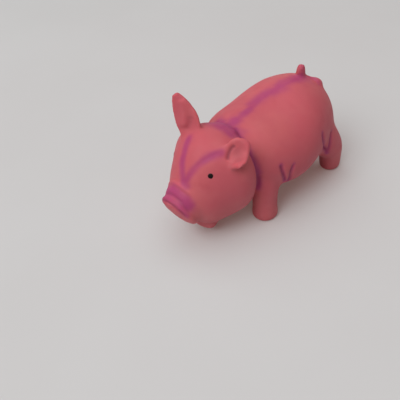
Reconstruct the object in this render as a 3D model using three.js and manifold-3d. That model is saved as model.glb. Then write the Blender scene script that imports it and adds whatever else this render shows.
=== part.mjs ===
// Squeaky pig dog toy: a hollow latex pig, a reed voice unit snapped into its belly, and a fibre filling.
// Millimetres, +Z up. The pig faces -Y, its left side is +X, and the origin is on the floor under its middle.
import * as THREE from "three";
import { mergeVertices } from "three/addons/utils/BufferGeometryUtils.js";
import Module from "manifold-3d";

// Clearance between pieces that touch
const CLEARANCE = 0.3;

// Latex wall
const WALL = 2.6;
const SOLE = 3.2;

// Torso
const TORSO = { length: 110, width: 82, height: 72 };
const BELLY_HEIGHT = 11;

// Head: starts inside the torso, this far from the rump, and tips its face down
const HEAD = { length: 59, width: 68, height: 73 };
const HEAD_START = 69;
const HEAD_HEIGHT = 19;
const HEAD_TILT = 20;

// Snout, with its middle this high in the head
const SNOUT_LENGTH = 9;
const SNOUT_ROOT_RADIUS = 16;
const SNOUT_RADIUS = 14.6;
const SNOUT_RIM = 1.6;
const SNOUT_DOME = 2;
const SNOUT_HEIGHT = 37.4;
const SNOUT_TILT = 30;
const NOSTRIL_RADIUS = 2.3;
const NOSTRIL_SPACING = 11;
const NOSTRIL_DEPTH = 3;

// Mouth and lower lip
const LIP = { width: 18.5, length: 14, height: 12 };
const LIP_BACK = 0.6;
const LIP_HEIGHT = -0.2;
const MOUTH_WIDTH = 22;
const MOUTH_OPENING = 1.6;
const MOUTH_DEPTH = 5;
const MOUTH_HEIGHT = 14;

// Legs: each station is a height, a shift to the rear, and half sizes across and along the pig
const FOOT_ROUND = 2.5;
const FRONT_LEG = {
  x: 24,
  y: -27,
  stations: [
    { height: 0, back: 0, across: 9.6, along: 9.8 },
    { height: 14, back: 0, across: 9, along: 9.4 },
    { height: 28, back: 1, across: 9.5, along: 11 },
    { height: 44, back: 3, across: 6, along: 12 },
  ],
};
const HIND_LEG = {
  x: 24,
  y: 52,
  stations: [
    { height: 0, back: 0, across: 8, along: 8.2 },
    { height: 12, back: 0, across: 8.6, along: 8.8 },
    { height: 24, back: -6, across: 10.4, along: 14.5 },
    { height: 38, back: -13, across: 9.5, along: 15 },
    { height: 54, back: -20, across: 5, along: 13 },
  ],
};

// Ears: leaf length follows from the paths below
const RIGHT_EAR = { width: 17.2, cup: 2, root: 0.24, tip: 0.975 };
const LEFT_EAR = { width: 20, cup: 2.4, root: 0.12, tip: 0.9 };
const EAR_THICKNESS = 3.6;
const EAR_RIM = 0.65;

// Eyes, by their place on the head
const EYE_RADIUS = 1.8;
const EYE_SOCKET = 1;
const EYE_DOME = 0.3;
const LEFT_EYE = { along: 0.58, turn: 48.5 };
const RIGHT_EYE = { along: 0.545, turn: 149 };

// Tail
const TAIL_ROOT_RADIUS = 4.4;
const TAIL_TIP_RADIUS = 3.4;
const TAIL_ALONG = 0.33;

// Voice unit, measured from the outer face of its flange
const VOICE_BACK = 4;
const FLANGE_RADIUS = 14.5;
const FLANGE_THICKNESS = 2;
const NECK_RADIUS = 10;
const NECK_LENGTH = 3;
const BARREL_RADIUS = 11.2;
const HOUSING_HEIGHT = 24;
const HOUSING_WALL = 1.5;
const SOUND_HOLE_RADIUS = 1.1;
const SOUND_HOLE_CIRCLE = 5;
const SOUND_HOLES = 6;
const COLLAR_WALL = 2.6;
const COLLAR_HEIGHT = 10;
const COLLAR_DROP = 1.2;

// Reed block, reed and wedge
const PLUG_LENGTH = 5;
const SHOULDER_THICKNESS = 1.8;
const BOARD_RADIUS = 4;
const BOARD_LENGTH = 14;
const CHANNEL_WIDTH = 3;
const CHANNEL_DEPTH = 2.2;
const CHANNEL_END = 1.5;
const REED_WIDTH = 5;
const REED_THICKNESS = 0.4;
const REED_LENGTH = 13;
const REED_ROOT = 3;
const REED_OPEN = 1.5;
const WEDGE_THICKNESS = 1.6;
const WEDGE_TAPER = 0.4;

// Gap between the filling and everything round it
const FILLING_GAP = 0.6;

// Outlines of the rounded forms. Each station is a share of the length from the rear, with the top and
// bottom as shares of the height and the half width as a share of half the width.
const TORSO_OUTLINE = {
  rear: 0.46,
  front: 0.66,
  stations: [
    { at: 0.02, top: 0.85, bottom: 0.09, half: 0.57 },
    { at: 0.26, top: 1.0, bottom: 0.01, half: 0.89 },
    { at: 0.52, top: 0.91, bottom: 0.0, half: 1.0 },
    { at: 0.79, top: 0.87, bottom: 0.18, half: 0.77 },
  ],
};
const HEAD_OUTLINE = {
  rear: 0.68,
  front: 0.44,
  stations: [
    { at: 0.14, top: 0.9, bottom: 0.38, half: 0.68 },
    { at: 0.42, top: 1.0, bottom: 0.065, half: 1.0 },
    { at: 0.72, top: 0.91, bottom: 0.05, half: 0.77 },
    { at: 0.99, top: 0.69, bottom: 0.2, half: 0.49 },
  ],
};
const LIP_OUTLINE = {
  rear: 0.5,
  front: 0.5,
  stations: [
    { at: 0.15, top: 0.86, bottom: 0.26, half: 0.72 },
    { at: 0.5, top: 1.0, bottom: 0.0, half: 1.0 },
    { at: 0.85, top: 0.86, bottom: 0.26, half: 0.72 },
  ],
};

const LATEX = new THREE.MeshStandardMaterial({ color: 0xc4626e, roughness: 0.75 });
const EYE_PAINT = new THREE.MeshStandardMaterial({ color: 0x120c0a, roughness: 0.35 });
const HOUSING_PLASTIC = new THREE.MeshStandardMaterial({ color: 0xe8e4d8, roughness: 0.5 });
const BLOCK_PLASTIC = new THREE.MeshStandardMaterial({ color: 0xd8d2c0, roughness: 0.55 });
const REED_PLASTIC = new THREE.MeshStandardMaterial({ color: 0xb9c4c8, roughness: 0.3 });
const WEDGE_PLASTIC = new THREE.MeshStandardMaterial({ color: 0x9a948a, roughness: 0.6 });
const FIBRE = new THREE.MeshStandardMaterial({ color: 0xf4f2ec, roughness: 1 });

const wasm = await Module();
wasm.setup();

const { degToRad, lerp } = THREE.MathUtils;
const vector = (x, y, z) => new THREE.Vector3(x, y, z);
const moved = (x, y, z) => new THREE.Matrix4().makeTranslation(x, y, z);
const tipped = (degrees) => new THREE.Matrix4().makeRotationX(degToRad(degrees));
const circle = (sides, at) => Array.from({ length: sides }, (_, side) => at((2 * Math.PI * side) / sides));
const steps = (count, at) => Array.from({ length: count + 1 }, (_, step) => at(step / count));
const closedCurve = (points) => new THREE.CatmullRomCurve3(points, true, "catmullrom", 0.5);
const openCurve = (points) => new THREE.CatmullRomCurve3(points);
const joined = (solids) => solids.reduce((sum, solid) => sum.add(solid));
const cut = (solid, tools) => tools.reduce((rest, tool) => rest.subtract(tool), solid);
const placed = (solid, place) => solid.transform(place.elements);

// A solid from a list of coordinates and the corners of its triangles, turned right side out.
function solidFrom(coordinates, corners) {
  const made = (order) =>
    new wasm.Manifold(
      new wasm.Mesh({
        numProp: 3,
        vertProperties: new Float32Array(coordinates),
        triVerts: new Uint32Array(order),
      }),
    );
  const solid = made(corners);
  return solid.volume() > 0 ? solid : made(corners.toReversed());
}

// A closed solid through rings of equally many points, with a cap on each end ring.
function loft(rings) {
  const sides = rings[0].length;
  const points = rings.flat();
  const corners = [];
  for (let first = 0; first + sides < points.length; first += sides) {
    for (let side = 0; side < sides; side += 1) {
      const a = first + side;
      const b = first + ((side + 1) % sides);
      corners.push(a, b, b + sides, a, b + sides, a + sides);
    }
  }
  const cap = (ring, first, turned) => {
    const middle = points.push(ring.reduce((sum, p) => sum.add(p), vector(0, 0, 0)).divideScalar(sides)) - 1;
    for (let side = 0; side < sides; side += 1) {
      const a = first + side;
      const b = first + ((side + 1) % sides);
      corners.push(...(turned ? [b, a, middle] : [a, b, middle]));
    }
  };
  cap(rings[0], 0, true);
  cap(rings.at(-1), (rings.length - 1) * sides, false);
  return solidFrom(points.flatMap((p) => [p.x, p.y, p.z]), corners);
}

// A round solid about Z from pairs of radius and height.
const turned = (profile, sides) =>
  loft(profile.map(([radius, height]) =>
    circle(sides, (turn) => vector(radius * Math.cos(turn), radius * Math.sin(turn), height))));

// A box from its lowest to its highest corner.
function block(low, high) {
  const box = new THREE.BoxGeometry(high[0] - low[0], high[1] - low[1], high[2] - low[2]);
  box.translate((low[0] + high[0]) / 2, (low[1] + high[1]) / 2, (low[2] + high[2]) / 2);
  box.deleteAttribute("normal");
  box.deleteAttribute("uv");
  const merged = mergeVertices(box);
  return solidFrom(merged.attributes.position.array, merged.index.array);
}

// A point on a rounded form, by the share of its length from the rear and the turn from its left side.
function roundedForm({ length, width, height }, { rear, front, stations }, place) {
  const onSide = (at, share) => vector(0, -at * length, share * height);
  const onPlan = (at, share) => vector((share * width) / 2, -at * length, 0);
  const back = stations.toReversed();
  const side = closedCurve([
    onSide(0, rear),
    ...stations.map((s) => onSide(s.at, s.top)),
    onSide(1, front),
    ...back.map((s) => onSide(s.at, s.bottom)),
  ]);
  const plan = closedCurve([
    onPlan(0, 0),
    ...stations.map((s) => onPlan(s.at, s.half)),
    onPlan(1, 0),
    ...back.map((s) => onPlan(s.at, -s.half)),
  ]);
  return (along, turn) => {
    const top = side.getPoint(along / 2);
    const bottom = side.getPoint(1 - along / 2);
    const half = plan.getPoint(along / 2).x;
    return bottom
      .lerp(top, (1 + Math.sin(turn)) / 2)
      .add(vector(half * Math.cos(turn), 0, 0))
      .applyMatrix4(place);
  };
}

function roundedSolid(form, ringCount, sides) {
  const rings = Array.from({ length: ringCount }, (_, ring) => {
    const along = (1 - Math.cos((Math.PI * (ring + 0.5)) / ringCount)) / 2;
    return circle(sides, (turn) => form(along, turn));
  });
  return loft(rings);
}

// The size of a form moved inwards on every side.
const inset = ({ length, width, height }, depth) => ({
  length: length - 2 * depth,
  width: width - 2 * depth,
  height: height - 2 * depth,
});

// A place on a form's surface with its Z axis pointing outwards.
function seatOn(form, along, turn) {
  const nudge = 0.01;
  const forward = form(along + nudge, turn).sub(form(along - nudge, turn)).normalize();
  const around = form(along, turn + nudge).sub(form(along, turn - nudge));
  const out = around.cross(forward).normalize();
  const aside = out.clone().cross(forward);
  return new THREE.Matrix4().makeBasis(forward, aside, out).setPosition(form(along, turn));
}

// A solid swept along a path: each section's second axis turns towards the facing.
function sweep(path, facing, rings, section) {
  return loft(steps(rings, (share) => {
    const middle = path.getPoint(share);
    const along = path.getTangent(share);
    const face = facing.clone().addScaledVector(along, -facing.dot(along)).normalize();
    const side = along.clone().cross(face);
    return section(share).map(([across, out]) =>
      middle.clone().addScaledVector(side, across).addScaledVector(face, out));
  }));
}

// Torso and head, each also at a depth inside its surface for the hollow and the filling
const rump = TORSO.length / 2;
const torsoAt = (depth) =>
  roundedForm(inset(TORSO, depth), TORSO_OUTLINE, moved(0, rump - depth, BELLY_HEIGHT + depth));
const headPlace = moved(0, rump - HEAD_START, HEAD_HEIGHT).multiply(tipped(HEAD_TILT));
const headAt = (depth) =>
  roundedForm(inset(HEAD, depth), HEAD_OUTLINE, headPlace.clone().multiply(moved(0, -depth, depth)));
const torso = torsoAt(0);
const head = headAt(0);

// Snout: a short muzzle with a rounded rim and two nostrils, built along Z and laid on the front of the head
const snoutPlace = headPlace
  .clone()
  .multiply(moved(0, -HEAD.length, SNOUT_HEIGHT))
  .multiply(tipped(90 + SNOUT_TILT - HEAD_TILT));
const muzzle = turned(
  [
    [SNOUT_ROOT_RADIUS + SNOUT_RIM, -SNOUT_LENGTH],
    [SNOUT_ROOT_RADIUS, 0],
    [SNOUT_RADIUS, SNOUT_LENGTH - 3 * SNOUT_RIM],
    [SNOUT_RADIUS + SNOUT_RIM / 4, SNOUT_LENGTH - SNOUT_RIM],
    [SNOUT_RADIUS - SNOUT_RIM / 3, SNOUT_LENGTH - SNOUT_RIM / 4],
    [SNOUT_RADIUS - SNOUT_RIM, SNOUT_LENGTH],
    [0.6 * SNOUT_RADIUS, SNOUT_LENGTH + 0.7 * SNOUT_DOME],
    [0.2 * SNOUT_RADIUS, SNOUT_LENGTH + SNOUT_DOME],
  ],
  36,
);
const nostrils = [-1, 1].map((side) =>
  turned([[NOSTRIL_RADIUS, -NOSTRIL_DEPTH], [NOSTRIL_RADIUS, SNOUT_DOME + 1]], 16)
    .translate([(side * NOSTRIL_SPACING) / 2, 0, SNOUT_LENGTH]));
const snout = placed(cut(muzzle, nostrils), snoutPlace);

// Mouth: a lower lip under the snout and a bent slit between them, also at a depth inside the latex
const lip = roundedForm(
  LIP,
  LIP_OUTLINE,
  headPlace.clone().multiply(moved(0, LIP.length + LIP_BACK - HEAD.length, LIP_HEIGHT)),
);
function mouthAt(depth) {
  const corner = (side) =>
    vector(side * (MOUTH_WIDTH / 2 + depth), MOUTH_DEPTH + depth - HEAD.length, MOUTH_HEIGHT);
  const middle = vector(0, -HEAD.length - MOUTH_DEPTH / 2, MOUTH_HEIGHT);
  const open = MOUTH_OPENING / 2 + depth;
  const deep = MOUTH_DEPTH + depth;
  const section = () => [[-open, -deep], [open, -deep], [open, deep], [-open, deep]];
  return placed(sweep(openCurve([corner(1), middle, corner(-1)]), vector(0, -1, 0), 10, section), headPlace);
}

// Legs, outside or hollowed by the wall
function leg({ x, y, stations }, side, depth, sides) {
  const shape = openCurve(stations.map((s) => vector(s.across - depth, s.along - depth, s.back)));
  const rise = openCurve(stations.map((s) => vector(0, 0, s.height)));
  const ring = (height, back, across, along) =>
    circle(sides, (turn) =>
      vector(side * (x + across * Math.cos(turn)), y + back + along * Math.sin(turn), height));
  const foot = steps(3, (share) => {
    const bend = (share * Math.PI) / 2;
    const inwards = depth + FOOT_ROUND * (1 - Math.sin(bend));
    const height = (depth > 0 ? SOLE : 0) + FOOT_ROUND * (1 - Math.cos(bend));
    return ring(height, 0, stations[0].across - inwards, stations[0].along - inwards);
  });
  const shaft = steps(7, (share) => {
    const { x: across, y: along, z: back } = shape.getPoint(share);
    return ring(rise.getPoint(share).z, back, across, along);
  });
  return loft([...foot, ...shaft.filter(([point]) => point.z > SOLE + FOOT_ROUND)]);
}

const legs = (depth, sides) =>
  [FRONT_LEG, HIND_LEG].flatMap((kind) => [-1, 1].map((side) => leg(kind, side, depth, sides)));

// Ears: cupped leaves, thinnest at the rim. The right one stands up and the left one flops outwards.
function earSection({ width, cup, root, tip }, share) {
  const half = (width / 2) * Math.abs(Math.sin(Math.PI * lerp(root, tip, share))) ** 0.6;
  const leaf = steps(8, (step) => {
    const across = 2 * step - 1;
    const thickness = EAR_THICKNESS * lerp(1, EAR_RIM, across ** 2);
    return { across: across * half, middle: cup * across ** 2, thickness };
  });
  const outer = leaf.map((p) => [p.across, p.middle - p.thickness / 2]);
  const inner = leaf.map((p) => [p.across, p.middle + p.thickness / 2]);
  return [...outer, ...inner.toReversed()];
}

function ear(leaf, root, bends, facing) {
  const path = openCurve(bends.map((bend) => bend.add(root)));
  return sweep(path, facing, 12, (share) => earSection(leaf, share));
}

const rightEar = ear(
  RIGHT_EAR,
  head(0.38, degToRad(112)),
  [vector(2.6, -1, -6), vector(-1.5, 0.4, 4.8), vector(-6.3, 0.8, 13.9), vector(-12.2, 0.4, 23.8)],
  vector(0.35, -0.8, 0.45),
);
const leftEar = ear(
  LEFT_EAR,
  head(0.36, degToRad(46)),
  [vector(-4, -3, -6), vector(2.5, 0, 1), vector(5.6, 2.4, 2), vector(8.2, 5, 0.5)],
  vector(0.45, -0.45, 0.75),
);

// Tail: a thick curl that lies on the rump and turns up to a blunt tip
const tailRoot = torso(TAIL_ALONG, degToRad(90));
const tailPath = openCurve(
  [vector(12, 9, -16), vector(10.5, 10.5, -8), vector(6, 7.5, -6.5), vector(1.5, 3, -2), vector(1, 2, 8.5)]
    .map((bend) => bend.add(tailRoot)),
);
const tail = sweep(tailPath, vector(0.2, 1, 0.1), 16, (share) => {
  const blunt = Math.sqrt(1 - 0.7 * share ** 12);
  const radius = blunt * lerp(TAIL_ROOT_RADIUS, TAIL_TIP_RADIUS, share);
  return circle(12, (turn) => [radius * Math.cos(turn), radius * Math.sin(turn)]);
});

// Voice unit, in its own frame: the outer face of the flange at height 0, the inside of the pig upwards
const voicePlace = moved(0, VOICE_BACK, BELLY_HEIGHT - COLLAR_DROP);
const neckTop = FLANGE_THICKNESS + NECK_LENGTH;
const boreRadius = NECK_RADIUS - HOUSING_WALL;
const housingBody = turned(
  [
    [FLANGE_RADIUS, 0],
    [FLANGE_RADIUS, FLANGE_THICKNESS],
    [NECK_RADIUS, FLANGE_THICKNESS],
    [NECK_RADIUS, neckTop],
    [BARREL_RADIUS, neckTop],
    [BARREL_RADIUS, HOUSING_HEIGHT],
  ],
  48,
);
const soundHole = turned([[SOUND_HOLE_RADIUS, -1], [SOUND_HOLE_RADIUS, FLANGE_THICKNESS + 1]], 14);
const soundHoles = circle(SOUND_HOLES, (turn) =>
  soundHole.translate([SOUND_HOLE_CIRCLE * Math.cos(turn), SOUND_HOLE_CIRCLE * Math.sin(turn), 0]));
const housingBore = turned([[boreRadius, FLANGE_THICKNESS], [boreRadius, HOUSING_HEIGHT + 1]], 48);
const housing = cut(housingBody, [housingBore, soundHole, ...soundHoles]);

// Reed block: a plug in the barrel with a half round tone board under it, its flat face towards -Y
const plugBottom = HOUSING_HEIGHT - PLUG_LENGTH;
const shoulderBottom = HOUSING_HEIGHT + CLEARANCE;
const plugTop = shoulderBottom + SHOULDER_THICKNESS;
const boardBottom = plugBottom - BOARD_LENGTH;
const pocketDepth = 3 * CLEARANCE + REED_THICKNESS + WEDGE_THICKNESS;
const plug = turned(
  [
    [boreRadius - CLEARANCE, plugBottom],
    [boreRadius - CLEARANCE, shoulderBottom],
    [BARREL_RADIUS, shoulderBottom],
    [BARREL_RADIUS, plugTop],
  ],
  48,
);
const boardRod = turned([[BOARD_RADIUS, boardBottom], [BOARD_RADIUS, plugTop - CLEARANCE]], 32);
const boardFront = block(
  [-2 * BOARD_RADIUS, -2 * BOARD_RADIUS, boardBottom - 1],
  [2 * BOARD_RADIUS, 0, plugTop],
);
const pocket = block(
  [-REED_WIDTH / 2 - CLEARANCE, -pocketDepth, plugBottom - 1],
  [REED_WIDTH / 2 + CLEARANCE, 0, plugBottom + REED_ROOT + CLEARANCE],
);
const channel = block(
  [-CHANNEL_WIDTH / 2, -CLEARANCE, boardBottom + CHANNEL_END],
  [CHANNEL_WIDTH / 2, CHANNEL_DEPTH, plugTop + 1],
);
const reedBlock = cut(plug.add(cut(boardRod, [boardFront])), [pocket, channel]);

// Reed: a thin tongue held at its root, standing a little open at its tip
const reedMiddle = -CLEARANCE - REED_THICKNESS / 2;
const reedTongue = block(
  [-REED_WIDTH / 2, -REED_THICKNESS / 2, -REED_LENGTH],
  [REED_WIDTH / 2, REED_THICKNESS / 2, REED_ROOT],
);
const reed = placed(reedTongue, moved(0, reedMiddle, plugBottom).multiply(tipped(-REED_OPEN)));

// Wedge: fills the pocket beside the reed, thinner at its upper end
const wedgeBack = reedMiddle - REED_THICKNESS / 2 - CLEARANCE;
const wedgeEnd = (height, thickness) => [
  vector(-REED_WIDTH / 2, wedgeBack, height),
  vector(REED_WIDTH / 2, wedgeBack, height),
  vector(REED_WIDTH / 2, wedgeBack - thickness, height),
  vector(-REED_WIDTH / 2, wedgeBack - thickness, height),
];
const wedge = loft([
  wedgeEnd(plugBottom, WEDGE_THICKNESS),
  wedgeEnd(plugBottom + REED_ROOT, WEDGE_THICKNESS - WEDGE_TAPER),
]);

// Latex: everything outside, less the hollow, with a thick collar in the belly that grips the voice unit
const flangeSeat = FLANGE_RADIUS + CLEARANCE;
const barrelSeat = BARREL_RADIUS + CLEARANCE;
const flangeRoom = FLANGE_THICKNESS + CLEARANCE;
const collar = turned(
  [
    [flangeSeat + COLLAR_WALL, 0],
    [flangeSeat + COLLAR_WALL, flangeRoom + COLLAR_WALL],
    [barrelSeat + COLLAR_WALL, flangeRoom + 2 * COLLAR_WALL],
    [barrelSeat + COLLAR_WALL, COLLAR_HEIGHT],
  ],
  48,
);
const voiceSeat = turned(
  [
    [flangeSeat, -1],
    [flangeSeat, flangeRoom],
    [NECK_RADIUS + CLEARANCE, flangeRoom],
    [NECK_RADIUS + CLEARANCE, neckTop - CLEARANCE],
    [barrelSeat, neckTop - CLEARANCE],
    [barrelSeat, COLLAR_HEIGHT + 1],
  ],
  48,
);
const eyeSeats = [LEFT_EYE, RIGHT_EYE].map(({ along, turn }) => seatOn(head, along, degToRad(turn)));
const eyeSocket = turned([[EYE_RADIUS + CLEARANCE, -EYE_SOCKET], [EYE_RADIUS + CLEARANCE, 2]], 20);
const outside = joined([
  roundedSolid(torso, 26, 40),
  roundedSolid(head, 22, 36),
  snout,
  roundedSolid(lip, 10, 20),
  ...legs(0, 20),
  rightEar,
  leftEar,
  tail,
]);
const inside = (depth) => [roundedSolid(torsoAt(depth), 16, 24), roundedSolid(headAt(depth), 14, 20)];
const hollow = cut(joined([...inside(WALL), ...legs(WALL, 12)]), [mouthAt(WALL)]);
const skin = cut(cut(outside, [hollow, mouthAt(0)]).add(placed(collar, voicePlace)), [
  placed(voiceSeat, voicePlace),
  ...eyeSeats.map((seat) => placed(eyeSocket, seat)),
]);

// Eyes: domed dots in the sockets
const eyeDot = turned(
  [
    [EYE_RADIUS, CLEARANCE - EYE_SOCKET],
    [EYE_RADIUS, 0],
    [EYE_RADIUS * 0.8, EYE_DOME * 0.7],
    [EYE_RADIUS * 0.4, EYE_DOME],
  ],
  20,
);

// Filling: the hollow of the torso and head, less the room for the collar and the voice unit
const voiceRoom = turned(
  [
    [flangeSeat + COLLAR_WALL + FILLING_GAP, -COLLAR_HEIGHT],
    [flangeSeat + COLLAR_WALL + FILLING_GAP, COLLAR_HEIGHT + FILLING_GAP],
    [BARREL_RADIUS + FILLING_GAP, COLLAR_HEIGHT + FILLING_GAP],
    [BARREL_RADIUS + FILLING_GAP, plugTop + FILLING_GAP],
  ],
  32,
);
const filling = cut(joined(inside(WALL + FILLING_GAP)), [
  placed(voiceRoom, voicePlace),
  mouthAt(WALL + FILLING_GAP),
]);

// Every piece, moved so that the origin is under the middle of the pig
const { min, max } = skin.boundingBox();
const centre = [-(min[0] + max[0]) / 2, -(min[1] + max[1]) / 2, -min[2]];
const pieces = [
  ["latex_body", skin, LATEX],
  ["left_eye", placed(eyeDot, eyeSeats[0]), EYE_PAINT],
  ["right_eye", placed(eyeDot, eyeSeats[1]), EYE_PAINT.clone()],
  ["voice_housing", placed(housing, voicePlace), HOUSING_PLASTIC],
  ["reed_block", placed(reedBlock, voicePlace), BLOCK_PLASTIC],
  ["reed", placed(reed, voicePlace), REED_PLASTIC],
  ["reed_wedge", placed(wedge, voicePlace), WEDGE_PLASTIC],
  ["fibre_filling", filling, FIBRE],
];

function meshOf([name, solid, material]) {
  const made = solid.translate(centre).getMesh();
  const geometry = new THREE.BufferGeometry();
  geometry.setAttribute("position", new THREE.BufferAttribute(made.vertProperties, 3));
  geometry.setIndex(new THREE.BufferAttribute(made.triVerts, 1));
  const mesh = new THREE.Mesh(geometry, material);
  mesh.name = name;
  return mesh;
}

const pig = new THREE.Group();
pig.add(...pieces.map(meshOf));
export default pig;
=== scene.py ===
"""Looks of the squeaky pig dog toy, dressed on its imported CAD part.

Lengths are in metres, unless a comment says millimetres.
"""

import math

import bmesh
import bpy
import numpy as np
from mathutils import Matrix, Vector, noise
from mathutils.bvhtree import BVHTree


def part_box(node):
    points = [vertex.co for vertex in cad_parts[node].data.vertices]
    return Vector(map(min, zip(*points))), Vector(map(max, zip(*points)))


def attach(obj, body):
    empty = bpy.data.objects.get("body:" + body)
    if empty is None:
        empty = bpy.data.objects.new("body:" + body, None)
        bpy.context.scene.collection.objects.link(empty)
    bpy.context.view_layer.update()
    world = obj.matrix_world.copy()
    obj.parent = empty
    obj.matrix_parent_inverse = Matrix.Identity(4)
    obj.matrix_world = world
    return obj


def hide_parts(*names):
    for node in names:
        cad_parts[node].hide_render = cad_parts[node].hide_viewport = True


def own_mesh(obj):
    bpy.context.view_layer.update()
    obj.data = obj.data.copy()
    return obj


MM = 0.001

# Camera, worked out from the photograph's outline. Its sensor is in millimetres.
PHOTO_SIZE = 400
FOCAL_PIXELS = 557.7
SENSOR_WIDTH = 36
CAMERA_CLIP = 10 * MM
CAMERA_DISTANCE = 440.3 * MM
CAMERA_AZIMUTH = math.radians(50.76)
CAMERA_ELEVATION = math.radians(40.52)
CAMERA_ROLL = math.radians(-6.31)
FLOOR_AIM = Vector((-25.1, -30.744, 0)) * MM

# Meshes: points closer than the weld are one point, and edges shorter than a sliver are closed up
SKIN_VOXEL = 0.82 * MM
WELD = 0.001 * MM
SLIVER = 0.02 * MM
TURNED_SIDES = 64

# Smoothing: the share of the way to its neighbours' middle that a point goes, the push back that keeps the
# volume, and the rounds of each kind of smoothing
PULL = 0.5
PUSH = -0.52
CREASE_ROUNDS = 75
SOFT_ROUNDS = 118
NORMAL_ROUNDS = 5
STEP_ROUNDS = 18
EDGE_ROUNDS = 9
FACET_ROUNDS = 50
GENTLE_ROUNDS = 20
LAST_ROUNDS = 3

# Slow waves in the dipped skin
UNEVENNESS = 0.12 * MM
UNEVENNESS_SCALE = 70

# Places on the skin, each a middle and a reach, and how steeply their effect fades past the reach
SNOUT = (Vector((0, -74, 34)) * MM, 15 * MM)
CHIN = (Vector((0, -52, 9)) * MM, 12 * MM)
NEAR_EAR = (Vector((28, -36, 73)) * MM, 11 * MM)
FAR_EAR = (Vector((-15.5, -43, 93)) * MM, 14 * MM)
TAIL = (Vector((7, 61, 79)) * MM, 11 * MM)
LEFT_JOWL = (Vector((22, -19, 24)) * MM, 12 * MM)
RIGHT_JOWL = (Vector((-22, -19, 24)) * MM, 12 * MM)
NAPE = (Vector((0, -22, 74)) * MM, 13 * MM)
PLACE_SLOPE = 3

# Places that keep their seams, have them filled further, are kept from wide smoothing, or get a little of it
CRISP_PLACES = [SNOUT, TAIL]
SOFT_PLACES = [CHIN, LEFT_JOWL, RIGHT_JOWL, NAPE]
FINE_PLACES = [SNOUT, CHIN, NEAR_EAR, FAR_EAR, TAIL]
GENTLE_PLACES = [NEAR_EAR, FAR_EAR, CHIN]

# Swelling that carries the chin over into the jaw
CHIN_WEB_MIDDLE = Vector((0, -50.5, 10.5)) * MM
CHIN_WEB_RADII = Vector((13.5, 6.5, 5.5)) * MM
CHIN_WEB_RINGS = 12
CHIN_WEB_SIDES = 32

# Eyes: rings of the paint drop, each a share of the radius and a height over the skin in millimetres, the
# wobble of its edge, and the plug that fills the eye's socket in the skin, as a share of the radius
EYES = ["left_eye", "right_eye"]
EYE_DOME = 0.3 * MM
EYE_SIDES = 32
EYE_PROFILE = [(0.5, -0.35), (0.97, -0.3), (1.0, 0.02), (0.96, 0.1), (0.8, 0.19), (0.5, 0.26), (0.2, 0.29)]
EYE_WOBBLE = 0.06
EYE_WOBBLE_SCALE = 1.3
EYE_WOBBLE_SHIFT = 200
EYE_PLUG_SHARE = 1.35
EYE_PLUG_BOTTOM = -1.2 * MM
EYE_PLUG_TOP = -0.1 * MM
EYE_PLUG_SIDES = 24

# Fibre filling, with room for the voice unit
WADDING_VOXEL = 2.2 * MM
WADDING_LUMPS = 160
WADDING_DEPTH = 2.6 * MM
WADDING_ROOM_RADIUS = 13.5 * MM
WADDING_ROOM_BOTTOM = -1 * MM
WADDING_ROOM_TOP = 50 * MM

# Voice unit seat in the belly, measured from the outer face of the flange
SEAT_FLANGE_RADIUS = 14.8 * MM
SEAT_NECK_RADIUS = 10.3 * MM
SEAT_BARREL_RADIUS = 11.5 * MM
SEAT_BOTTOM = -4 * MM
SEAT_MARGIN = 0.1 * MM
SEAT_FLANGE_TOP = 2.95 * MM
SEAT_NECK_TOP = 4.7 * MM
SEAT_TOP = 11 * MM

# Lines on the skin: the points of a curve between two corners, the widths that a line reaches, how far off
# the skin it still counts, the share of its length that thins out at each end, and how fast it fades on skin
# that turns away
PATH_STEPS = 12
LINE_REACH = 3
LINE_DEPTH = 2.5 * MM
LINE_TAPER = 0.14
FACING_SLOPE = 2

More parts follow.
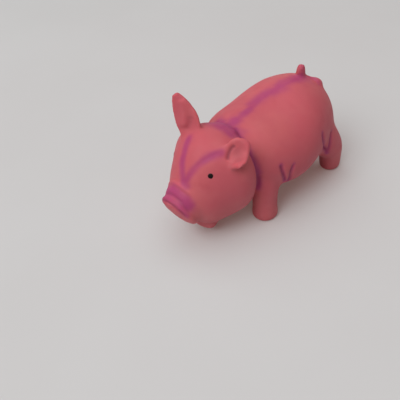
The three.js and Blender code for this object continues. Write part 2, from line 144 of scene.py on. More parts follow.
# Each line goes through points in the photograph. A groove has a depth, negative for a ridge, and a width.
# The sprayed purple and the dark, which is painted shade in a fold or groove, have a strength and a width.
# Depths and widths are in millimetres.
LINES = {
    "spine": {
        "pixels": [
            (222, 128), (229, 125), (237, 120), (246, 112), (262, 98), (280, 87), (294, 80), (301, 76),
        ],
        "spray": (0.9, 4.2),
    },
    "spine_blotch": {
        "pixels": [(253, 104), (263, 96), (275, 90)],
        "spray": (0.85, 6.0),
    },
    "collar": {
        "pixels": [(235, 129), (241, 136), (247, 145), (253, 158), (258, 175), (257.5, 188)],
        "groove": (1.1, 2.2),
        "spray": (1.0, 3.0),
        "dark": (0.28, 1.76),
        "mirrored": True,
        "behind_ear": True,
    },
    "nape": {
        "pixels": [(217, 122.5), (222, 124.5), (229, 128), (237, 134)],
        "groove": (-0.8, 4.0),
        "spray": (1.0, 7.0),
    },
    "nape_blotch": {
        "pixels": [(212, 123), (219, 126), (226, 130), (231, 134)],
        "spray": (0.8, 6.0),
    },
    "nape_join": {
        "pixels": [(226, 127), (230, 125), (236, 120)],
        "spray": (1.0, 6.0),
    },
    "spine_end": {
        "pixels": [(280, 86), (292, 79.5), (302, 78)],
        "spray": (0.8, 7.5),
    },
    "near_brow": {
        "pixels": [(184, 184), (190, 174), (198, 165), (208, 158), (215, 154.5), (221, 152.5)],
        "groove": (0.3, 1.6),
        "spray": (0.84, 3.5),
    },
    "far_brow": {
        "pixels": [(184, 184), (182, 170), (183, 157), (186, 145), (189, 138)],
        "groove": (0.3, 1.6),
        "spray": (0.88, 3.6),
    },
    "brow_blotch": {
        "pixels": [(183, 175), (184, 180), (186, 186)],
        "spray": (0.82, 4.2),
    },
    "front_fold": {
        "pixels": [(281, 165), (283, 173), (285, 181)],
        "groove": (1.7, 1.2),
        "spray": (0.85, 1.9),
        "dark": (0.38, 0.96),
        "mirrored": True,
    },
    "second_front_fold": {
        "pixels": [(294, 164), (291, 173), (288, 181)],
        "groove": (1.5, 1.3),
        "spray": (0.7, 1.9),
        "dark": (0.28, 1.04),
        "mirrored": True,
    },
    "hind_fold": {
        "pixels": [(322.5, 133), (324, 142), (327, 153)],
        "groove": (1.9, 1.4),
        "spray": (0.9, 2.2),
        "dark": (0.38, 1.12),
        "mirrored": True,
    },
    "second_hind_fold": {
        "pixels": [(331.5, 131), (330.5, 141), (328, 151)],
        "groove": (1.5, 1.3),
        "spray": (0.7, 1.9),
        "dark": (0.28, 1.04),
        "mirrored": True,
    },
    "muzzle_ridge": {
        "pixels": [(171, 182), (180, 186), (189, 193), (197, 203)],
        "groove": (-0.5, 1.4),
        "mirrored": True,
    },
    "muzzle_band": {
        "pixels": [(168, 190), (177, 194), (184, 201), (188, 207)],
        "spray": (1.0, 6.0),
        "mirrored": True,
    },
    "muzzle_groove": {
        "pixels": [(167, 192), (175, 197), (183, 205), (190, 214)],
        "groove": (0.4, 1.2),
        "dark": (0.2, 0.96),
        "mirrored": True,
    },
    "rim_spray": {
        "pixels": [(165, 195), (171, 200), (178, 206), (184, 212), (187, 216)],
        "spray": (0.85, 3.2),
        "mirrored": True,
    },
    "rim_edge": {
        "pixels": [(163.4, 198.4), (168, 202.2), (174, 206.6), (180, 211.4), (186, 216.4)],
        "groove": (0.5, 1.0),
        "dark": (0.6, 0.8),
        "mirrored": True,
    },
    "near_ear_rim": {
        "pixels": [
            (231, 144), (238, 140), (245, 143), (248, 149), (247, 156), (244, 163), (239, 167), (233, 169),
        ],
        "groove": (-0.8, 2.0),
    },
    # Painted shade darkens the near ear's dish
    "near_ear_shade": {
        "pixels": [(234, 148), (237, 155), (239, 162)],
        "dark": (0.24, 4.0),
    },
    "near_ear_crease": {
        "pixels": [(235, 145), (231, 148.5), (228.5, 154), (227.5, 161)],
        "groove": (1.2, 1.4),
        "dark": (0.6, 1.12),
    },
    "far_ear_ridge": {
        "pixels": [(184, 128), (185, 118), (184, 108), (181, 99)],
        "groove": (-1.4, 3.2),
    },
    "far_ear_shade": {
        "pixels": [(187, 129), (190, 123), (191, 116)],
        "groove": (0.5, 2.4),
        "dark": (0.12, 1.92),
    },
    "tail_curl": {
        "pixels": [(309, 77), (315, 79), (319, 83)],
        "spray": (0.6, 2.5),
    },
    "tail_tip": {
        "pixels": [(302, 75), (302, 70), (302, 65)],
        "spray": (0.55, 4.5),
    },
}

# Hollows pressed into the skin, swellings where the depth is negative: the middle in the photograph, the
# radius and depth in millimetres, how round their edge is and how far the skin may turn away
DENTS = [
    {"pixel": (238, 155), "radius": 7, "depth": 1.7},
    {"pixel": (302, 70), "radius": 8, "depth": -0.7},
]
DENT_ROUNDING = 1.5
DENT_FACING = 0.2

# Colours of the toy
LATEX_PINK = (0.55, 0.098, 0.125)
LATEX_PALE = (0.58, 0.122, 0.138)
LATEX_DEEP = (0.48, 0.072, 0.095)
SPRAY_PURPLE = (0.40, 0.045, 0.156)
# Painted shade, laid darker into the folds, the grooves and the ears' dishes
PAINTED_FOLD_SHADE = (0.16, 0.014, 0.04)
EYE_BLACK = (0.004, 0.002, 0.002)
EYE_BROWN = (0.010, 0.004, 0.003)
FIBRE_WHITE = (0.86, 0.85, 0.82)
FIBRE_SHADE = (0.62, 0.61, 0.58)

# Voice unit plastics: a colour, its cloudy second colour and a roughness
VOICE_PLASTICS = {
    "voice_housing": ((0.80, 0.77, 0.68), (0.72, 0.68, 0.58), 0.45),
    "reed_block": ((0.68, 0.64, 0.53), (0.60, 0.56, 0.45), 0.5),
    "reed": ((0.48, 0.55, 0.58), (0.40, 0.47, 0.50), 0.3),
    "reed_wedge": ((0.32, 0.30, 0.26), (0.26, 0.24, 0.21), 0.55),
}

# Constant values of each surface
LATEX_FINISH = {
    "Roughness": 0.6,
    "Specular IOR Level": 0.35,
    "Subsurface Weight": 0.3,
    "Subsurface Radius": (1.0, 0.4, 0.4),
    "Subsurface Scale": 4 * MM,
}
PAINT_FINISH = {"Roughness": 0.35, "Specular IOR Level": 0.15}
FIBRE_FINISH = {"Roughness": 0.95}
FLOOR_FINISH = {"Roughness": 0.9, "Specular IOR Level": 0.1}

# Bands of a noise's own values over which a surface changes: most of it, its upper part, or its peaks only
WIDE_BAND = (0.3, 0.7)
UPPER_BAND = (0.35, 0.7)
PEAK_BAND = (0.55, 0.85)

# Sprayed purple: its ragged edge, the shares between which it comes up, and how much it covers
SPRAY_RAGGED = (-0.1, 0.1)
SPRAY_SHARES = (0.05, 1.05)
SPRAY_COVER = (0.0, 0.95)

# Ranges of the noise on other surfaces. A plastic's gloss is added to its roughness.
DEEP_COVER = (0.0, 0.6)
LATEX_ROUGHNESS = (0.58, 0.7)
PAINT_ROUGHNESS = (0.28, 0.42)
PLASTIC_GLOSS = (-0.08, 0.1)

# Depth of the grain on each surface
LATEX_GRAIN = 0.05 * MM
PAINT_GRAIN = 0.03 * MM
FIBRE_GRAIN = 1.2 * MM
PLASTIC_GRAIN = 0.03 * MM

# Floor: round the toy a cool colour and a warm glow, further out plain grey, and at last the backdrop's grey
FLOOR_HALF_SIZE = 6
FLOOR_GREY = (0.617, 0.625, 0.626)
FLOOR_PALE = (0.632, 0.643, 0.645)
COOL_GREY = (0.575, 0.630, 0.642)
COOL_PALE = (0.589, 0.647, 0.660)
BACKDROP_GREY = (0.58, 0.575, 0.57)
# Painted light: round the toy a warm glow stands in for the toy's pink bounce light and lightens its shadow
PAINTED_BOUNCE_GLOW = (0.90, 0.51, 0.44)
GLOW_SHARES = (0.12, 1)
WARM_FADE = (0.25, 0.6)
FLOOR_FADE = (0.6, 1.6)

# Light: the sky's colour, and soft lamps, each a place in metres, a size in metres and a power in watts
SKY_WARM = (0.18, 0.155, 0.145)
LAMPS = {
    "overhead": ((-0.4, -0.3, 2.8), 4.0, 60),
    "key": ((0.3, -2.3, 2.6), 2.0, 54),
}

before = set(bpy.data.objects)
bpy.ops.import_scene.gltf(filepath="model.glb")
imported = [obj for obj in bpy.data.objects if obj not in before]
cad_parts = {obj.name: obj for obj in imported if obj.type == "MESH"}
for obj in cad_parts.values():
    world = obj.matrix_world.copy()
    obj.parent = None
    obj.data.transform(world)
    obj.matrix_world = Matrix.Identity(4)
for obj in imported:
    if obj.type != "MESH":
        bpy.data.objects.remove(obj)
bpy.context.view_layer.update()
scene = bpy.context.scene


# Mesh helpers

def points_of(mesh):
    points = np.empty(len(mesh.vertices) * 3)
    mesh.vertices.foreach_get("co", points)
    return points.reshape(-1, 3)


def set_points(mesh, points):
    mesh.vertices.foreach_set("co", points.astype(np.float32).ravel())
    mesh.update()


def normals_of(mesh):
    normals = np.empty(len(mesh.vertices) * 3)
    mesh.vertex_normals.foreach_get("vector", normals)
    return normals.reshape(-1, 3)


def edges_of(mesh):
    edges = np.empty(len(mesh.edges) * 2, int)
    mesh.edges.foreach_get("vertices", edges)
    return edges.reshape(-1, 2)


def along(ways, directions):
    """How far each way goes in its direction."""
    return np.einsum("ij,ij->i", ways, directions)


def pull_to_neighbours(points, edges):
    """The way from each point to the middle of its neighbours."""
    count = len(points)
    ends = np.concatenate([edges[:, 0], edges[:, 1]])
    others = np.concatenate([edges[:, 1], edges[:, 0]])
    valence = np.bincount(ends, minlength=count)
    sums = [np.bincount(ends, weights=points[others, axis], minlength=count) for axis in range(3)]
    return np.stack(sums, axis=1) / np.maximum(valence, 1)[:, None] - points


def smooth_steps(mesh, rounds):
    """Takes out small steps: each round pulls points in, then pushes them back a little further."""
    points, edges = points_of(mesh), edges_of(mesh)
    for _ in range(rounds):
        for step in (PULL, PUSH):
            points = points + step * pull_to_neighbours(points, edges)
    set_points(mesh, points)


def smooth_facets(mesh, rounds, share):
    """Takes out wide facets, then gives back the smoothed out loss so that the form doesn't shrink."""
    start, edges = points_of(mesh), edges_of(mesh)
    points = start
    for _ in range(rounds):
        points = points + PULL * share[:, None] * pull_to_neighbours(points, edges)
    loss = start - points
    for _ in range(rounds):
        loss = loss + PULL * pull_to_neighbours(loss, edges)
    set_points(mesh, points + share[:, None] * loss)


def fill_creases(mesh, rounds, share):
    """Rounds out hollow seams only: points move outwards where their neighbours stand proud."""
    points, edges = points_of(mesh), edges_of(mesh)
    for turn in range(rounds):
        if turn % NORMAL_ROUNDS == 0:
            set_points(mesh, points)
            normals = normals_of(mesh)
        rise = along(pull_to_neighbours(points, edges), normals)
        points = points + (PULL * share * np.maximum(rise, 0))[:, None] * normals
    set_points(mesh, points)


def new_object(name, data):
    obj = bpy.data.objects.new(name, data)
    scene.collection.objects.link(obj)
    return obj


def mesh_from(name, bm):
    mesh = bpy.data.meshes.new(name)
    bm.to_mesh(mesh)
    bm.free()
    return mesh


def joined_mesh(meshes):
    bm = bmesh.new()
    for mesh in meshes:
        bm.from_mesh(mesh)
    return mesh_from("joined", bm)


def evaluated_mesh(obj):
    graph = bpy.context.evaluated_depsgraph_get()
    return bpy.data.meshes.new_from_object(obj.evaluated_get(graph))


def remeshed(mesh, voxel):
    holder = new_object("remesh_holder", mesh)
    remesh = holder.modifiers.new("remesh", "REMESH")
    remesh.mode = "VOXEL"
    remesh.voxel_size = voxel
    made = evaluated_mesh(holder)
    bpy.data.objects.remove(holder)
    return made


def without_slivers(mesh):
    """The mesh with the very short edges of a cut closed up and its many sided faces split."""
    bm = bmesh.new()
    bm.from_mesh(mesh)
    bmesh.ops.dissolve_degenerate(bm, dist=SLIVER, edges=bm.edges)
    bmesh.ops.triangulate(bm, faces=[face for face in bm.faces if len(face.verts) > 4])
    return mesh_from(mesh.name, bm)


def difference(mesh, tools):
    """The mesh less the tool meshes, all closed."""
    holder = new_object("cut_holder", mesh)
    cutters = [new_object("cutter", tool) for tool in tools]
    for cutter in cutters:
        cut = holder.modifiers.new("cut", "BOOLEAN")
        cut.operation = "DIFFERENCE"
        cut.solver = "MANIFOLD"
        cut.object = cutter
    made = evaluated_mesh(holder)
    for obj in [holder, *cutters]:
        bpy.data.objects.remove(obj)
    return without_slivers(made)


def add_walls(bm, rings):
    """Faces between each ring of points and the next, with a cap on both ends."""
    sides = len(rings[0])
    for low, high in zip(rings, rings[1:]):
        for side in range(sides):
            after = (side + 1) % sides
            bm.faces.new((low[side], low[after], high[after], high[side]))
    bm.faces.new(rings[0][::-1])
    bm.faces.new(rings[-1])


def lathe(name, profile, centre=(0, 0, 0), sides=TURNED_SIDES):
    """A closed solid turned about a vertical axis, from pairs of radius and height."""
    bm = bmesh.new()
    turns = [2 * math.pi * side / sides for side in range(sides)]
    rings = []
    for radius, height in profile:
        ring = [(radius * math.cos(turn), radius * math.sin(turn), height) for turn in turns]
        rings.append([bm.verts.new(Vector(centre) + Vector(point)) for point in ring])
    add_walls(bm, rings)
    return mesh_from(name, bm)


def tree_of(mesh, kept=None):
    """A search tree of the mesh, or of the faces between its kept points."""
    points = [Vector(point) for point in points_of(mesh)]
    faces = [polygon.vertices[:] for polygon in mesh.polygons]
    if kept is not None:
        faces = [face for face in faces if all(kept[corner] for corner in face)]
    return BVHTree.FromPolygons(points, faces)


# Camera and photograph

def camera_axes():
    """The directions to the right, upwards and backwards of the camera."""
    level = math.cos(CAMERA_ELEVATION)
    back = Vector((
        math.sin(CAMERA_AZIMUTH) * level,
        -math.cos(CAMERA_AZIMUTH) * level,
        math.sin(CAMERA_ELEVATION),
    ))
    right = Vector((math.cos(CAMERA_AZIMUTH), math.sin(CAMERA_AZIMUTH), 0))
    up = back.cross(right)
    straight, aside = math.cos(CAMERA_ROLL), math.sin(CAMERA_ROLL)
    return right * straight + up * aside, up * straight - right * aside, back


CAMERA_RIGHT, CAMERA_UP, CAMERA_BACK = camera_axes()
CAMERA_PLACE = FLOOR_AIM + CAMERA_BACK * CAMERA_DISTANCE


def make_camera():
    data = bpy.data.cameras.new("camera")
    data.sensor_width = SENSOR_WIDTH
    data.lens = FOCAL_PIXELS / PHOTO_SIZE * SENSOR_WIDTH
    data.clip_start = CAMERA_CLIP
    camera = new_object("camera", data)
    turn = Matrix((CAMERA_RIGHT, CAMERA_UP, CAMERA_BACK)).transposed().to_4x4()
    camera.matrix_world = Matrix.Translation(CAMERA_PLACE) @ turn
    scene.camera = camera


def sight(pixel):
    """The direction from the camera through a pixel of the photograph."""
    across = (pixel[0] - PHOTO_SIZE / 2) / FOCAL_PIXELS
    upwards = (PHOTO_SIZE / 2 - pixel[1]) / FOCAL_PIXELS
    return (CAMERA_RIGHT * across + CAMERA_UP * upwards - CAMERA_BACK).normalized()


def cast(pixel, tree):
    """The place on the skin seen at a pixel of the photograph."""
    place, _, _, _ = tree.ray_cast(CAMERA_PLACE, sight(pixel))
    return place


# Skin form

def voice_foot():
    """The middle of the voice unit's outer face."""
    low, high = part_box("voice_housing")
    return Vector(((low.x + high.x) / 2, (low.y + high.y) / 2, low.z))


def voice_seat():
    """The room that the voice unit takes in the belly, with a ring of latex left round its neck."""
    profile = [
        (SEAT_FLANGE_RADIUS, SEAT_BOTTOM),
        (SEAT_FLANGE_RADIUS, SEAT_FLANGE_TOP),
        (SEAT_NECK_RADIUS, SEAT_FLANGE_TOP),
        (SEAT_NECK_RADIUS, SEAT_NECK_TOP),
        (SEAT_BARREL_RADIUS, SEAT_NECK_TOP),
        (SEAT_BARREL_RADIUS, SEAT_TOP),
    ]
    return lathe("seat", profile, voice_foot())


def close_seat(bm):
    """Closes the CAD skin's outside and inside where the voice unit goes through the belly."""
    foot = voice_foot()

    def in_seat(face):
        middle = face.calc_center_median()
        aside = math.hypot(middle.x - foot.x, middle.y - foot.y)
        return aside < SEAT_FLANGE_RADIUS and foot.z - SEAT_MARGIN < middle.z < foot.z + SEAT_TOP

    bmesh.ops.delete(bm, geom=[face for face in bm.faces if in_seat(face)], context="FACES")
    bmesh.ops.holes_fill(bm, edges=[edge for edge in bm.edges if edge.is_boundary], sides=0)
    bmesh.ops.recalc_face_normals(bm, faces=bm.faces)


def connected_points(bm):
    """The points of each separate piece, the widest piece first."""
    pieces = []
    left = set(bm.verts)
    while left:
        found = {left.pop()}
        front = list(found)
        while front:
            reached = {edge.other_vert(vert) for vert in front for edge in vert.link_edges} - found
            found |= reached
            front = list(reached)
        left -= found
        pieces.append(found)
    return sorted(pieces, key=lambda piece: max(vert.co.x for vert in piece), reverse=True)


def cad_shells():
    """The CAD skin's outside and inside, each a closed mesh."""
    bm = bmesh.new()
    bm.from_mesh(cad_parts["latex_body"].data)
    bmesh.ops.remove_doubles(bm, verts=bm.verts, dist=WELD)
    close_seat(bm)
    shells = []
    for piece in connected_points(bm)[:2]:
        shell = bm.copy()
        kept = {vert.index for vert in piece}
        others = [vert for vert in shell.verts if vert.index not in kept]
        bmesh.ops.delete(shell, geom=others, context="VERTS")
        shells.append(mesh_from("shell", shell))
    bm.free()
    return shells


def eye_frame(node):
    """An eye's middle on the skin, the direction it faces and its radius."""
    points = points_of(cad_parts[node].data)
    middle = points.mean(0)
    facing = np.linalg.svd(points - middle, full_matrices=False)[2][2]
    facing = facing if facing[0] * middle[0] > 0 else -facing
    heights = (points - middle) @ facing
    aside = (points - middle) - heights[:, None] * facing
    radius = np.linalg.norm(aside, axis=1).max()
    return middle + (heights.max() - EYE_DOME) * facing, facing, radius


def eye_plug(node):
    """A closed plug that fills the CAD skin's eye socket before the skin is made smooth."""
    middle, facing, radius = eye_frame(node)
    turn = Vector(facing).to_track_quat("Z", "Y").to_matrix().to_4x4()
    wide = EYE_PLUG_SHARE * radius
    plug = lathe("plug", [(wide, EYE_PLUG_BOTTOM), (wide, EYE_PLUG_TOP)], sides=EYE_PLUG_SIDES)
    plug.transform(Matrix.Translation(Vector(middle)) @ turn)
    return plug


def chin_web():
    """A closed swelling between the chin and the jaw."""
    turns = [math.pi * ((ring + 0.5) / CHIN_WEB_RINGS - 0.5) for ring in range(CHIN_WEB_RINGS)]
    web = lathe("web", [(math.cos(turn), math.sin(turn)) for turn in turns], sides=CHIN_WEB_SIDES)
    web.transform(Matrix.Translation(CHIN_WEB_MIDDLE) @ Matrix.Diagonal((*CHIN_WEB_RADII, 1)))
    return web


def near(points, places):
    """1 within the reach of a place's middle, fading to 0 past it."""
    share = np.zeros(len(points))
    for middle, reach in places:
        gap = np.linalg.norm(points - np.array(middle), axis=1) / reach
        share = np.maximum(share, np.clip(1 + PLACE_SLOPE * (1 - gap), 0, 1))
    return share


def smooth_form(outside):
    """The CAD skin's outside as one fine mesh with rounded seams and no facets."""
    mesh = remeshed(joined_mesh([outside, chin_web(), *map(eye_plug, EYES)]), SKIN_VOXEL)
    fill_creases(mesh, CREASE_ROUNDS, 1 - near(points_of(mesh), CRISP_PLACES))
    fill_creases(mesh, SOFT_ROUNDS, near(points_of(mesh), SOFT_PLACES))
    smooth_steps(mesh, STEP_ROUNDS)
    smooth_facets(mesh, EDGE_ROUNDS, np.ones(len(mesh.vertices)))
    smooth_facets(mesh, FACET_ROUNDS, 1 - near(points_of(mesh), FINE_PLACES))
    smooth_facets(mesh, GENTLE_ROUNDS, near(points_of(mesh), GENTLE_PLACES))
    return mesh


def uneven(mesh):
    """Gives the skin slow waves."""
    points, normals = points_of(mesh), normals_of(mesh)
    wave = np.array([noise.noise(Vector(point) * UNEVENNESS_SCALE) for point in points])
    set_points(mesh, points + (UNEVENNESS * wave)[:, None] * normals)


# Lines and hollows on the skin

def smooth_path(corners):
    """A curve through the corners, as many points."""
    ends = [2 * corners[0] - corners[1], *corners, 2 * corners[-1] - corners[-2]]
    path = []
    for before, start, end, after in zip(ends, ends[1:], ends[2:], ends[3:]):
        for step in range(PATH_STEPS):
            share = step / PATH_STEPS
            slope = (end - before) * share
            bend = (2 * before - 5 * start + 4 * end - after) * share * share
            twist = (3 * start - before - 3 * end + after) * share * share * share
            path.append((2 * start + slope + bend + twist) / 2)
    return path + [corners[-1]]


def line_paths(line, tree):
    """The line laid on a skin: one path, or two when it is mirrored, each as points and normals."""
    corners = [cast(pixel, tree) for pixel in line["pixels"]]
    path = smooth_path([corner for corner in corners if corner is not None])
    paths = [path]
    if line.get("mirrored"):
        paths.append([Vector((-point.x, point.y, point.z)) for point in path])
    laid = []
    for way in paths:
        found = [tree.find_nearest(point) for point in way]
        places = np.array([place for place, _, _, _ in found])
        normals = np.array([normal for _, normal, _, _ in found])
        laid.append((places, normals))
    return laid


def laid_lines(mesh, tree):
    """The paths of every line by its name. A line behind the near ear is laid as if the ear weren't there."""
    earless = tree_of(mesh, near(points_of(mesh), [NEAR_EAR]) < 1)
    return {
        name: line_paths(line, earless if line.get("behind_ear") else tree)
        for name, line in LINES.items()
    }


def marked(paths_by_line, mark):
    """Each path of the lines that have a groove, spray or dark, with the mark's two values."""
    for name, paths in paths_by_line.items():
        if mark in LINES[name]:
            yield from ((path, *LINES[name][mark]) for path in paths)


def line_shares(points, normals, path, width, thinning=True):
    """How close each point is to a path along the skin: 1 on it, fading with the width.

    A thinning line runs out towards its ends, any other has round ends.
    """
    places, facing = path
    share = np.zeros(len(points))
    reach = LINE_REACH * width + LINE_DEPTH
    close = np.flatnonzero(((points > places.min(0) - reach) & (points < places.max(0) + reach)).all(1))
    if not len(close):
        return share
    best = np.linalg.norm(points[close, None] - places[None], axis=2).argmin(1)
    offset = points[close] - places[best]
    depth = np.clip(along(offset, facing[best]), -LINE_DEPTH, LINE_DEPTH)
    gap = np.linalg.norm(offset - depth[:, None] * facing[best], axis=1)
    same_side = np.clip(FACING_SLOPE * along(normals[close], facing[best]), 0, 1)
    share[close] = np.exp(-((gap / width) ** 2)) * same_side
    if thinning:
        way = best / (len(places) - 1)
        share[close] *= np.sqrt(np.clip(np.minimum(way, 1 - way) / LINE_TAPER, 0, 1))
    return share


def press_lines(mesh, paths_by_line):
    points, normals = points_of(mesh), normals_of(mesh)
    move = np.zeros(len(points))
    for path, depth, width in marked(paths_by_line, "groove"):
        move -= depth * MM * line_shares(points, normals, path, width * MM)
    set_points(mesh, points + move[:, None] * normals)


def press_dents(mesh, tree):
    points, normals = points_of(mesh), normals_of(mesh)
    move = np.zeros(len(points))
    for dent in DENTS:
        middle = cast(dent["pixel"], tree)
        facing = np.array(tree.find_nearest(middle)[1])
        gap = np.linalg.norm(points - np.array(middle), axis=1) / (dent["radius"] * MM)
        share = np.clip(1 - gap ** 2, 0, 1) ** DENT_ROUNDING * (normals @ facing > DENT_FACING)
        move -= dent["depth"] * MM * share
    set_points(mesh, points + move[:, None] * normals)


def add_attribute(mesh, name, values):
    attribute = mesh.attributes.new(name, "FLOAT", "POINT")
    attribute.data.foreach_set("value", values.astype(np.float32))


def add_colour_shares(mesh, paths_by_line):
    """Keeps the shares of sprayed purple and of painted shade in the folds with each point of the mesh."""
    points, normals = points_of(mesh), normals_of(mesh)
    for mark, name, thinning in (("spray", "spray", False), ("dark", "fold", True)):
        shares = np.zeros(len(points))
        for path, strength, width in marked(paths_by_line, mark):
            line = line_shares(points, normals, path, width * MM, thinning)
            shares = np.maximum(shares, strength * line)
        add_attribute(mesh, name, shares)


def make_skin():
    """The hollow latex skin, with its lines and hollows pressed in and the voice unit's seat cut out."""
    outside, inside = cad_shells()
    mesh = smooth_form(outside)
    tree = tree_of(mesh)
    paths_by_line = laid_lines(mesh, tree)
    uneven(mesh)
    press_lines(mesh, paths_by_line)
    press_dents(mesh, tree)
    smooth_steps(mesh, LAST_ROUNDS)
    mesh = difference(mesh, [inside, voice_seat()])
    add_colour_shares(mesh, paths_by_line)
    mesh.shade_smooth()
    return new_object("pig_skin", mesh)


# Eyes

def make_eye(node, skin_tree):
    """A drop of paint that lies on the skin."""
    middle, facing, radius = eye_frame(node)
    middle, facing = Vector(middle), Vector(facing)
    right = facing.orthogonal().normalized()
    up = facing.cross(right)
    bm = bmesh.new()
    rings = []
    for share, height in EYE_PROFILE:
        ring = []
        for side in range(EYE_SIDES):
            turn = 2 * math.pi * side / EYE_SIDES
            outwards = right * math.cos(turn) + up * math.sin(turn)
            wave = noise.noise(outwards * EYE_WOBBLE_SCALE + middle * EYE_WOBBLE_SHIFT)
            place = middle + outwards * (share * (1 + EYE_WOBBLE * wave) * radius)
            on_skin = skin_tree.find_nearest(place)[0]
            ring.append(bm.verts.new(on_skin + facing * (height * MM)))
        rings.append(ring)
    add_walls(bm, rings)
    bmesh.ops.recalc_face_normals(bm, faces=bm.faces)
    mesh = mesh_from(node + "_paint", bm)
    mesh.shade_smooth()
    return new_object(node + "_paint", mesh)


# Filling

def make_wadding():
    """Loose fibre: the CAD filling made lumpy, with room for the voice unit when the toy is squeezed."""
    mesh = remeshed(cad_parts["fibre_filling"].data.copy(), WADDING_VOXEL)
    points, normals = points_of(mesh), normals_of(mesh)
    lumps = np.array([abs(noise.noise(Vector(point) * WADDING_LUMPS)) for point in points])
    set_points(mesh, points - (WADDING_DEPTH * lumps)[:, None] * normals)
    foot = voice_foot()
    profile = [(WADDING_ROOM_RADIUS, WADDING_ROOM_BOTTOM), (WADDING_ROOM_RADIUS, WADDING_ROOM_TOP)]
    mesh = difference(mesh, [lathe("room", profile, Vector((foot.x, foot.y, 0)))])
    mesh.shade_smooth()
    return new_object("wadding", mesh)


# Material helpers

def new_material(name, finish):
    material = bpy.data.materials.new(name)
    material.use_nodes = True
    shader = material.node_tree.nodes["Principled BSDF"]
    for socket, value in finish.items():
        shader.inputs[socket].default_value = value
    return material, material.node_tree, shader


def add_node(tree, kind, **values):
    node = tree.nodes.new(kind)
    for name, value in values.items():
        setattr(node, name, value)
    return node


def object_place(tree):
    return add_node(tree, "ShaderNodeTexCoord").outputs["Object"]


def object_noise(tree, scale, detail=3.0, roughness=0.5):
    texture = add_node(tree, "ShaderNodeTexNoise")
    texture.inputs["Scale"].default_value = scale
    texture.inputs["Detail"].default_value = detail
    texture.inputs["Roughness"].default_value = roughness
    tree.links.new(object_place(tree), texture.inputs["Vector"])
    return texture.outputs["Fac"]


def ranged(tree, value, band, to=(0.0, 1.0)):
    """A value that goes smoothly from the first to the second of two values across a band of another."""
    node = add_node(tree, "ShaderNodeMapRange", interpolation_type="SMOOTHSTEP")
    tree.links.new(value, node.inputs["Value"])
    for socket, limit in zip(("From Min", "From Max", "To Min", "To Max"), (*band, *to)):
        node.inputs[socket].default_value = limit
    return node.outputs["Result"]


def clouds(tree, scale, band, to=(0.0, 1.0), detail=3.0):
    return ranged(tree, object_noise(tree, scale, detail), band, to)


def mixed(tree, share, first, second):
    """A colour between two, each a colour or a socket."""
    node = add_node(tree, "ShaderNodeMix", data_type="RGBA")
    tree.links.new(share, node.inputs["Factor"])
    sockets = {socket.identifier: socket for socket in [*node.inputs, *node.outputs]}
    for name, value in (("A_Color", first), ("B_Color", second)):
        if isinstance(value, tuple):
            sockets[name].default_value = (*value, 1)
        else:
            tree.links.new(value, sockets[name])
    return sockets["Result_Color"]


def attribute(tree, name):
    return add_node(tree, "ShaderNodeAttribute", attribute_name=name).outputs["Fac"]


def combined(tree, operation, first, second):
    node = add_node(tree, "ShaderNodeMath", operation=operation)
    tree.links.new(first, node.inputs[0])
    tree.links.new(second, node.inputs[1])
    return node.outputs["Value"]


def add_bump(tree, shader, height, distance):
    bump = add_node(tree, "ShaderNodeBump")
    bump.inputs["Strength"].default_value = 1
    bump.inputs["Distance"].default_value = distance
    tree.links.new(height, bump.inputs["Height"])
    tree.links.new(bump.outputs["Normal"], shader.inputs["Normal"])


# Materials

def latex_material():
    """Matt pink latex, cloudy and a little translucent, with sprayed purple and painted shade in the folds.
    """
    material, tree, shader = new_material("latex", LATEX_FINISH)
    ragged = clouds(tree, scale=110, band=WIDE_BAND, to=SPRAY_RAGGED, detail=1)
    spray = combined(tree, "ADD", attribute(tree, "spray"), ragged)
    pale = clouds(tree, scale=35, band=UPPER_BAND)
    deep = clouds(tree, scale=60, band=PEAK_BAND, to=DEEP_COVER, detail=4)
    colour = mixed(tree, pale, LATEX_PINK, LATEX_PALE)
    colour = mixed(tree, deep, colour, LATEX_DEEP)
    colour = mixed(tree, ranged(tree, spray, SPRAY_SHARES, SPRAY_COVER), colour, SPRAY_PURPLE)
    # Painted shade in the folds and grooves
    colour = mixed(tree, attribute(tree, "fold"), colour, PAINTED_FOLD_SHADE)
    tree.links.new(colour, shader.inputs["Base Color"])
    roughness = clouds(tree, scale=120, band=WIDE_BAND, to=LATEX_ROUGHNESS)
    tree.links.new(roughness, shader.inputs["Roughness"])
    add_bump(tree, shader, object_noise(tree, scale=900, detail=4), LATEX_GRAIN)
    return material


def paint_material():
    """Black paint with a brown cast and a low gloss."""
    material, tree, shader = new_material("eye_paint", PAINT_FINISH)
    colour = mixed(tree, clouds(tree, scale=700, band=UPPER_BAND), EYE_BLACK, EYE_BROWN)
    tree.links.new(colour, shader.inputs["Base Color"])
    roughness = clouds(tree, scale=500, band=WIDE_BAND, to=PAINT_ROUGHNESS)
    tree.links.new(roughness, shader.inputs["Roughness"])
    add_bump(tree, shader, object_noise(tree, scale=900), PAINT_GRAIN)
    return material


def fibre_material():
    """White strands with grey painted shade between them."""
    material, tree, shader = new_material("fibre", FIBRE_FINISH)
    strands = object_noise(tree, scale=420, detail=6, roughness=0.7)
    colour = mixed(tree, ranged(tree, strands, WIDE_BAND), FIBRE_SHADE, FIBRE_WHITE)
    tree.links.new(colour, shader.inputs["Base Color"])
    add_bump(tree, shader, strands, FIBRE_GRAIN)
    return material


def plastic_material(name, colour, worn, roughness):
    """Moulded plastic: a slightly cloudy colour, a fine grain and uneven gloss."""
    material, tree, shader = new_material(name, {"Roughness": roughness})
    cloudy = mixed(tree, clouds(tree, scale=90, band=UPPER_BAND, detail=4), colour, worn)
    tree.links.new(cloudy, shader.inputs["Base Color"])
    limits = tuple(roughness + step for step in PLASTIC_GLOSS)
    gloss = clouds(tree, scale=260, band=WIDE_BAND, to=limits)
    tree.links.new(gloss, shader.inputs["Roughness"])
    add_bump(tree, shader, object_noise(tree, scale=1500), PLASTIC_GRAIN)
    return material


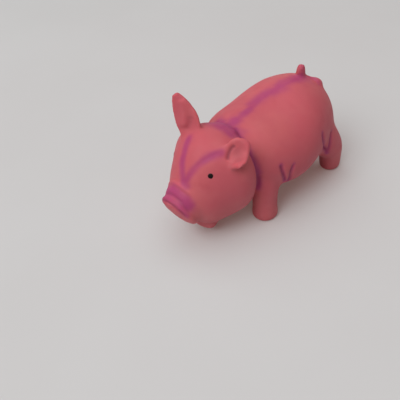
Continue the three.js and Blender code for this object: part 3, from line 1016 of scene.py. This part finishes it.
def seen_directly(tree):
    """1 for what the camera sees, also in a reflection or through a clear piece, and 0 for light."""
    rays = add_node(tree, "ShaderNodeLightPath").outputs
    camera_or_glossy = combined(tree, "ADD", rays["Is Camera Ray"], rays["Is Glossy Ray"])
    return combined(tree, "ADD", camera_or_glossy, rays["Is Transmission Ray"])


def floor_material():
    """A pale floor that keeps the toy's shadow and runs into the backdrop's grey further out.

    Round the toy its own colour is cooler and its glow warmer, a painted bounce light from the pink toy: the
    open floor stays grey, and the shadow turns brown. Seen directly, the glow also lightens the shadow.
    """
    material, tree, shader = new_material("floor", FLOOR_FINISH)
    away = add_node(tree, "ShaderNodeVectorMath", operation="LENGTH")
    tree.links.new(object_place(tree), away.inputs[0])
    distance = away.outputs["Value"]
    far = ranged(tree, distance, WARM_FADE)
    grey = mixed(tree, far, COOL_GREY, FLOOR_GREY)
    pale = mixed(tree, far, COOL_PALE, FLOOR_PALE)
    grain = clouds(tree, scale=6, band=WIDE_BAND, detail=4)
    tree.links.new(mixed(tree, grain, grey, pale), shader.inputs["Base Color"])
    glow = add_node(tree, "ShaderNodeEmission")
    tree.links.new(mixed(tree, far, PAINTED_BOUNCE_GLOW, BACKDROP_GREY), glow.inputs["Color"])
    glow_share = ranged(tree, distance, FLOOR_FADE, GLOW_SHARES)
    blend = add_node(tree, "ShaderNodeMixShader")
    tree.links.new(combined(tree, "MULTIPLY", seen_directly(tree), glow_share), blend.inputs["Fac"])
    tree.links.new(shader.outputs["BSDF"], blend.inputs[1])
    tree.links.new(glow.outputs["Emission"], blend.inputs[2])
    tree.links.new(blend.outputs["Shader"], tree.nodes["Material Output"].inputs["Surface"])
    return material


# Stage

def make_floor():
    bm = bmesh.new()
    bmesh.ops.create_grid(bm, x_segments=1, y_segments=1, size=FLOOR_HALF_SIZE)
    floor = new_object("floor", mesh_from("floor", bm))
    floor.data.materials.append(floor_material())


def make_lamps():
    for name, (place, size, power) in LAMPS.items():
        light = bpy.data.lights.new(name, "AREA")
        light.energy = power
        light.size = size
        lamp = new_object(name, light)
        lamp.location = place
        lamp.rotation_euler = (-Vector(place)).to_track_quat("-Z", "Y").to_euler()


def make_world():
    scene.world = bpy.data.worlds.new("world")
    scene.world.use_nodes = True
    tree = scene.world.node_tree
    colour = mixed(tree, seen_directly(tree), SKY_WARM, BACKDROP_GREY)
    tree.links.new(colour, tree.nodes["Background"].inputs["Color"])


# Pieces on the part

def dress(obj, material, slot, *nodes):
    """Puts the material on a piece that takes the place of CAD nodes, and attaches it to the skin's body."""
    obj.data.materials.clear()
    obj.data.materials.append(material)
    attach(obj, "skin")
    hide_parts(*nodes)
    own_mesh(obj)


def dress_voice_unit():
    for node, (colour, worn, roughness) in VOICE_PLASTICS.items():
        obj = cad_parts[node]
        obj.data.materials.clear()
        obj.data.materials.append(plastic_material(node, colour, worn, roughness))


scene.view_settings.view_transform = "Standard"
make_camera()
make_floor()
make_lamps()
make_world()
skin = make_skin()
skin_tree = tree_of(skin.data)
eye_paint = paint_material()
for eye in EYES:
    dress(make_eye(eye, skin_tree), eye_paint, "eye_paint", eye)
wadding = make_wadding()
dress(wadding, fibre_material(), "fibre", "fibre_filling")
dress(skin, latex_material(), "latex", "latex_body")
dress_voice_unit()
